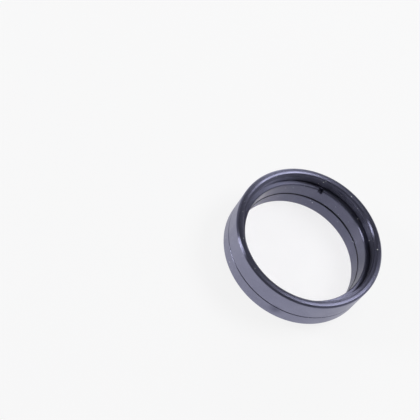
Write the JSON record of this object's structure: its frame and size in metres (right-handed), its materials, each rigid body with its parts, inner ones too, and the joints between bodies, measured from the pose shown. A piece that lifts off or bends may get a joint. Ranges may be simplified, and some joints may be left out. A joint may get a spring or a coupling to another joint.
{
  "type": "infrared blocking filter",
  "caption": "Round glass filter clamped in a black turned ring, with a female filter thread in front and a male one behind, that keeps infrared light from a camera.",
  "frame": {"origin": "on the optical axis at the rear end, the plane that the filter rests on", "axes": "+Z along the optical axis from the rear thread to the front thread, +Y through one of the spanner slots"},
  "size_m": [0.053, 0.053, 0.0172],
  "materials": {
    "anodised_aluminium": "satin black anodised",
    "blackened_steel": "matt black",
    "filter_glass": "coated, near clear with a cool tint"
  },
  "bodies": {
    "root": {"front_ring": "anodised_aluminium", "rear_ring": "anodised_aluminium", "split_ring": "blackened_steel", "filter_glass": "filter_glass"}
  },
  "joints": []
}
